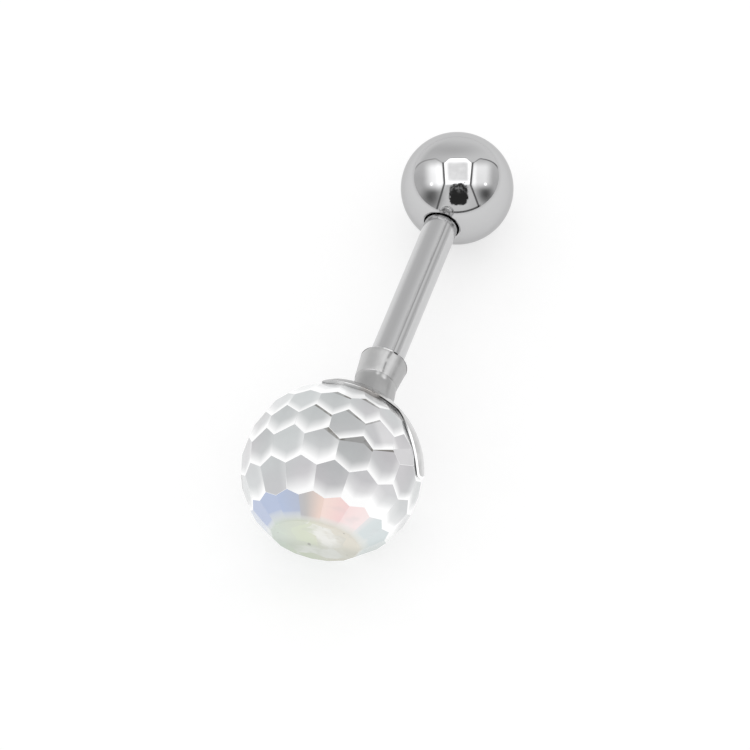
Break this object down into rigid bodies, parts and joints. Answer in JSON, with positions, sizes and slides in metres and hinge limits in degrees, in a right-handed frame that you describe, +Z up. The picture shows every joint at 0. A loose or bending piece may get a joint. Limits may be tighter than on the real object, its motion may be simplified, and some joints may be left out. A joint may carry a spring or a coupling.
{
  "type": "tragus stud",
  "caption": "Short straight ear stud with a faceted clear crystal bead in a clawed dish, a tapered collar, a round post and a polished ball that screws off.",
  "frame": {"origin": "on the table that the stud lies on, under the middle of its length", "axes": "+Z up from the table; +Y along the post towards the screw ball, seen from above; +X to the right of it"},
  "size_m": [0.0062, 0.0183, 0.006],
  "materials": {
    "crystal": "cut clear crystal with a faint pearly coating",
    "satin_steel": "turned and lightly polished surgical steel",
    "mirror_steel": "mirror polished surgical steel"
  },
  "bodies": {
    "stud": {"crystal_ball": "crystal", "dish_collar": "satin_steel", "post": "satin_steel"},
    "ball": {"screw_ball": "mirror_steel"}
  },
  "joints": [
    {"name": "ball_unscrew", "type": "slide", "parent": "stud", "child": "ball", "axis": [0, 0.9974, -0.0724], "range_m": [0, 0.009]}
  ]
}
